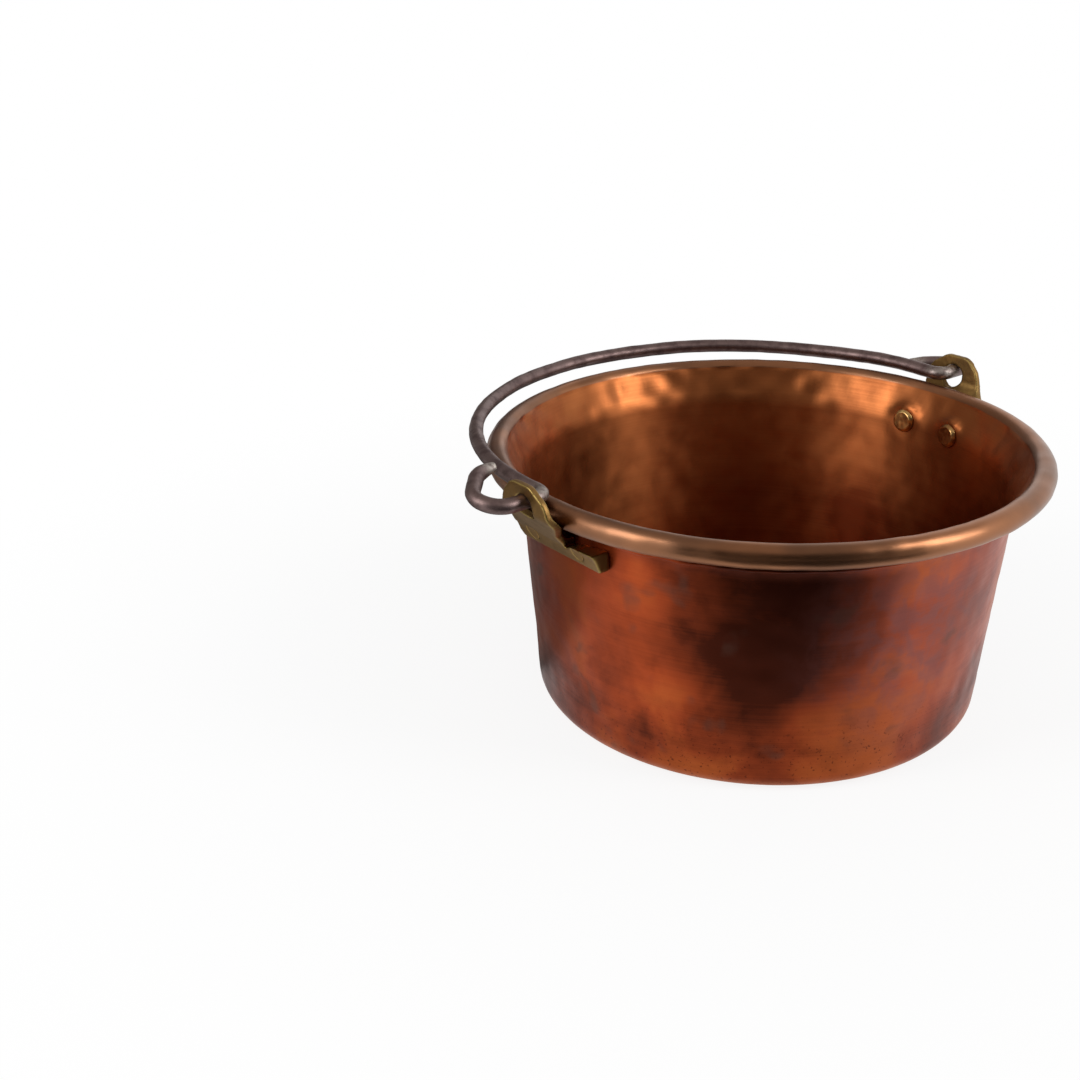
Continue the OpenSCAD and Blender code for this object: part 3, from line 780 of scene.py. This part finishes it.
def forged_iron(colour):
    """Wrought iron from the forge: grey-brown, with darker scale in patches of about 8 mm,
    and scuffed bright at its tips and where it rubs in the ears."""
    material, tree = new_material("forged_iron")
    place = add(tree, "ShaderNodeTexCoord", {}, "Object")
    worn = add(tree, "ShaderNodeAttribute", {}, "Fac", attribute_name="worn")
    patches = add(tree, "ShaderNodeTexNoise", {
        "Vector": place, "Scale": 1 / (8 * MM), "Detail": 5.0, "Roughness": 0.6})
    scaled = add(tree, "ShaderNodeMapRange", {0: patches, 1: 0.4, 2: 0.68, 4: 0.8}, **SMOOTH)
    scuffs = add(tree, "ShaderNodeTexNoise", {
        "Vector": place, "Scale": 1 / (2.2 * MM), "Detail": 4.0})
    scuffed = add(tree, "ShaderNodeMapRange", {
        0: scuffs, 1: 0.35, 2: 0.6, 3: 0.35}, **SMOOTH)
    bright = add(tree, "ShaderNodeMath", {0: worn, 1: scuffed}, operation="MULTIPLY")
    skin = (*colour.iron, 1)
    for share, coat in ((scaled, colour.scale), (bright, colour.rubbed)):
        skin = add(tree, "ShaderNodeMix", {0: share, 6: skin, 7: (*coat, 1)}, 2, **COLOUR)
    grain = add(tree, "ShaderNodeTexNoise", {
        "Vector": place, "Scale": 1 / (1.2 * MM), "Detail": 4.0})
    rough = add(tree, "ShaderNodeMapRange", {0: patches, 1: 0.35, 2: 0.7, 3: 0.42, 4: 0.54})
    bump = add(tree, "ShaderNodeBump", {
        "Strength": 0.8, "Distance": 0.05 * MM, "Height": grain})
    shader = add(tree, "ShaderNodeBsdfPrincipled", {
        "Base Color": skin, "Metallic": 1.0, "Roughness": rough, "Normal": bump})
    add(tree, "ShaderNodeOutputMaterial", {0: shader})
    return material


def seen_plainly(tree):
    """1 where the camera, a gloss or a glass sees the surface, and 0 for all other rays."""
    ray = add(tree, "ShaderNodeLightPath", {}, "Is Camera Ray")
    seen = ray
    for kind in ("Is Glossy Ray", "Is Transmission Ray"):
        seen = add(tree, "ShaderNodeMath", {
            0: seen, 1: ray.node.outputs[kind]}, operation="MAXIMUM")
    return seen


def pale_floor(colour):
    """A matt pale floor. Where the camera, a gloss or a glass sees it, 0.86 of it is the
    plain white of the background, which grows to all of it between 0.2 m and 0.6 m out,
    and the rest keeps the object's shadow."""
    material, tree = new_material("pale_floor")
    place = add(tree, "ShaderNodeTexCoord", {}, "Object")
    away = add(tree, "ShaderNodeVectorMath", {0: place}, "Value", operation="LENGTH")
    white_share = add(tree, "ShaderNodeMapRange", {
        0: away, 1: 0.2, 2: 0.6, 3: 0.86}, **SMOOTH)
    share = add(tree, "ShaderNodeMath", {
        0: seen_plainly(tree), 1: white_share}, operation="MULTIPLY")
    matt = add(tree, "ShaderNodeBsdfDiffuse", {"Color": (*colour.floor, 1)})
    white = add(tree, "ShaderNodeEmission", {"Color": WHITE, "Strength": 1.0})
    both = add(tree, "ShaderNodeMixShader", {0: share, 1: matt, 2: white})
    add(tree, "ShaderNodeOutputMaterial", {0: both})
    return material


def dim_room(name, strength):
    """What a dim part of the room around a studio table gives the gloss."""
    material, tree = new_material(name)
    glow = add(tree, "ShaderNodeEmission", {"Color": WARM_WHITE, "Strength": strength})
    add(tree, "ShaderNodeOutputMaterial", {0: glow})
    return material


def white_surround(scene):
    """White where the camera, a gloss or a glass sees it, and 0.55 of that as light."""
    world = bpy.data.worlds.new("studio")
    world.use_nodes = True
    tree = world.node_tree
    tree.nodes.clear()
    strength = add(tree, "ShaderNodeMapRange", {0: seen_plainly(tree), 3: 0.55, 4: 1.0})
    shade = add(tree, "ShaderNodeBackground", {"Color": WHITE, "Strength": strength})
    add(tree, "ShaderNodeOutputWorld", {0: shade})
    scene.world = world


class JAMPAN_OT_beaten_pan(bpy.types.Operator):
    """Raises the beaten copper sheet of the pan with its wired rim bead"""

    bl_idname = "jampan.beaten_pan"
    bl_label = "Beaten copper pan"

    def execute(self, context):
        scene = context.scene
        place_piece("copper_pan", beaten_sheet(scene.jam_pan),
                    beaten_copper(scene.jam_pan_finishes), "pan", "pan_body")
        return {"FINISHED"}


class JAMPAN_OT_rim_wire(bpy.types.Operator):
    """Gives the wire inside the rim bead its iron finish"""

    bl_idname = "jampan.rim_wire"
    bl_label = "Rim wire"

    def execute(self, context):
        wire = frame["nodes"]["rim_wire"]
        wire.data.materials.clear()
        wire.data.materials.append(forged_iron(context.scene.jam_pan_finishes))
        return {"FINISHED"}


class JAMPAN_OT_cast_ears(bpy.types.Operator):
    """Casts the two brass ears that carry the bail"""

    bl_idname = "jampan.cast_ears"
    bl_label = "Cast brass ears"

    def execute(self, context):
        material = cast_brass(context.scene.jam_pan_finishes)
        for node in EARS:
            mesh = worn_copy("cast_" + node, node, 0.45 * MM, 7, 0.03 * MM)
            place_piece("cast_" + node, mesh, material, "pan", node)
        return {"FINISHED"}


class JAMPAN_OT_rivets(bpy.types.Operator):
    """Closes the four brass rivets that hold the ears"""

    bl_idname = "jampan.rivets"
    bl_label = "Brass rivets"

    def execute(self, context):
        material = rivet_brass(context.scene.jam_pan_finishes)
        for node in RIVETS:
            mesh = worn_copy("closed_" + node, node, 0.25 * MM, 5, 0.04 * MM)
            place_piece("closed_" + node, mesh, material, "pan", node)
        return {"FINISHED"}


class JAMPAN_OT_forged_bail(bpy.types.Operator):
    """Forges the iron bail with its two hooks"""

    bl_idname = "jampan.forged_bail"
    bl_label = "Forged bail"

    def execute(self, context):
        scene = context.scene
        place_piece("forged_bail", forged_rod(scene.jam_pan_bail),
                    forged_iron(scene.jam_pan_finishes), "bail", "bail")
        return {"FINISHED"}


# The studio in metres, with the camera's dip in degrees and its roll in radians. The film
# and the focal length are in the camera's own millimetres, from a frame of 1080 pixels
FLOOR_WIDTH = 80
PAN_MIDDLE = (0, 0, 0.1)
CAMERA_PLACE = (-0.5250, -0.4956, 0.3997)
CAMERA_HEADING = (0.601, 0.799)
CAMERA_DIP = 23.78
CAMERA_ROLL = -0.0126
FRAME_PIXELS, FOCAL_PIXELS = 1080, 1400
FILM_WIDTH = 36
FOCAL_LENGTH = FOCAL_PIXELS / FRAME_PIXELS * FILM_WIDTH


def stage_piece(name, points, faces, material):
    """A piece of the stage, from its points and faces."""
    mesh = bpy.data.meshes.new(name)
    mesh.from_pydata(points, [], faces)
    mesh.materials.append(material)
    piece = bpy.data.objects.new(name, mesh)
    bpy.context.scene.collection.objects.link(piece)
    return piece


def gloss_only(card):
    """Hides a piece of the stage from all but the gloss, and from the lamps."""
    card.visible_camera = False
    card.visible_diffuse = False
    card.visible_transmission = False
    card.visible_volume_scatter = False
    card.visible_shadow = False


def curtain(name, first, last, radius, high, material):
    """A part of an upright cylinder about Z, from the floor up and from one bearing in
    degrees to another, that shows in the gloss alone."""
    count = 25
    bearing = np.radians(np.linspace(first, last, count))
    ring = radius * np.stack([np.cos(bearing), np.sin(bearing)], 1)
    points = np.concatenate([
        np.c_[ring, np.zeros(count)], np.c_[ring, np.full(count, high)]])
    i = np.arange(count - 1)
    faces = np.stack([i, i + 1, i + count + 1, i + count], 1).tolist()
    gloss_only(stage_piece(name, points, faces, material))


def round_card(name, bearing, away, radius, height, material):
    """A level disc, its middle at a bearing in degrees, a distance from Z and a height,
    that shows in the gloss alone."""
    count = 64
    turns = np.linspace(0, 2 * math.pi, count, endpoint=False)
    towards = math.radians(bearing)
    middle = away * np.array([math.cos(towards), math.sin(towards)])
    ring = middle + radius * np.stack([np.cos(turns), np.sin(turns)], 1)
    points = np.c_[ring, np.full(count, height)]
    gloss_only(stage_piece(name, points, [list(range(count))], material))


def softbox(name, place, wide, high, radiance):
    """A rectangular lamp at place that faces the pan. Its power is radiance * pi * area."""
    data = bpy.data.lights.new(name, "AREA")
    data.shape = "RECTANGLE"
    data.size, data.size_y = wide, high
    data.energy = radiance * math.pi * wide * high
    lamp = bpy.data.objects.new(name, data)
    bpy.context.scene.collection.objects.link(lamp)
    way = Vector(PAN_MIDDLE) - Vector(place)
    turned = way.to_track_quat("-Z", "Y").to_matrix().to_4x4()
    lamp.matrix_world = Matrix.Translation(place) @ turned


def set_camera(scene):
    """The camera at the photograph's viewing angle: it looks along its heading, which is
    given on plan, down by its dip, and is turned about the line of sight by its roll."""
    dip = math.radians(CAMERA_DIP)
    level = Vector((*CAMERA_HEADING, 0)) * math.cos(dip)
    forward = level - Vector((0, 0, math.sin(dip)))
    forward.normalize()
    right = forward.cross(Vector((0, 0, 1))).normalized()
    up = right.cross(forward)
    across = math.cos(CAMERA_ROLL) * right + math.sin(CAMERA_ROLL) * up
    data = bpy.data.cameras.new("camera")
    data.sensor_width = FILM_WIDTH
    data.lens = FOCAL_LENGTH
    data.clip_start, data.clip_end = 0.01, 50
    camera = bpy.data.objects.new("camera", data)
    scene.collection.objects.link(camera)
    turned = Matrix((across, across.cross(forward), -forward)).transposed().to_4x4()
    camera.matrix_world = Matrix.Translation(CAMERA_PLACE) @ turned
    scene.camera = camera


class JAMPAN_OT_studio(bpy.types.Operator):
    """Sets the floor, the white surround, the lamps and the camera"""

    bl_idname = "jampan.studio"
    bl_label = "Studio"

    def execute(self, context):
        scene = context.scene
        half = FLOOR_WIDTH / 2
        corners = [(-half, -half, 0), (half, -half, 0), (half, half, 0), (-half, half, 0)]
        stage_piece("floor", corners, [(0, 1, 2, 3)], pale_floor(scene.jam_pan_finishes))
        white_surround(scene)
        scene.view_settings.view_transform = "Standard"

        softbox("left_softbox", (-1.30, 0.28, 0.95), 0.55, 1.0, 5.5)
        softbox("right_softbox", (0.63, -1.10, 0.95), 0.5, 1.0, 6.5)

        dark, dim = dim_room("dark_room", 0.04), dim_room("dim_room", 0.24)
        curtain("front_curtain", 194, 292, 2.0, 2.4, dark)
        round_card("front_shade", 239, 0.74, 0.53, MM, dark)
        curtain("back_curtain", 50, 146, 2.0, 2.4, dim)
        round_card("back_shade", 99, 0.66, 0.57, MM, dim)
        round_card("ceiling", 0, 0, 2.2, 2.0, dim_room("grey_room", 0.5))

        set_camera(scene)
        return {"FINISHED"}


class JAMPAN_PT_sidebar(bpy.types.Panel):
    """Lists the pieces of the jam pan and its studio"""

    bl_label = "Jam pan"
    bl_idname = "JAMPAN_PT_sidebar"
    bl_space_type = "VIEW_3D"
    bl_region_type = "UI"
    bl_category = "Jam pan"

    def draw(self, context):
        for operator in OPERATORS:
            self.layout.operator(operator.bl_idname)
        for key in GROUPS:
            group = getattr(context.scene, key)
            box = self.layout.box()
            for name in group.__annotations__:
                box.prop(group, name)


GROUPS = {"jam_pan": PanSizes, "jam_pan_bail": BailSizes, "jam_pan_finishes": Finishes}
OPERATORS = (
    JAMPAN_OT_beaten_pan,
    JAMPAN_OT_rim_wire,
    JAMPAN_OT_cast_ears,
    JAMPAN_OT_rivets,
    JAMPAN_OT_forged_bail,
    JAMPAN_OT_studio,
)


def register():
    for made in (*GROUPS.values(), *OPERATORS, JAMPAN_PT_sidebar):
        bpy.utils.register_class(made)
    for key, group in GROUPS.items():
        setattr(bpy.types.Scene, key, bpy.props.PointerProperty(type=group))


def unregister():
    for key in GROUPS:
        delattr(bpy.types.Scene, key)
    for made in reversed((*GROUPS.values(), *OPERATORS, JAMPAN_PT_sidebar)):
        bpy.utils.unregister_class(made)


def main():
    """Builds every piece and the stage."""
    register()
    for operator in OPERATORS:
        group, name = operator.bl_idname.split(".")
        getattr(getattr(bpy.ops, group), name)()


if __name__ == "__main__":
    main()
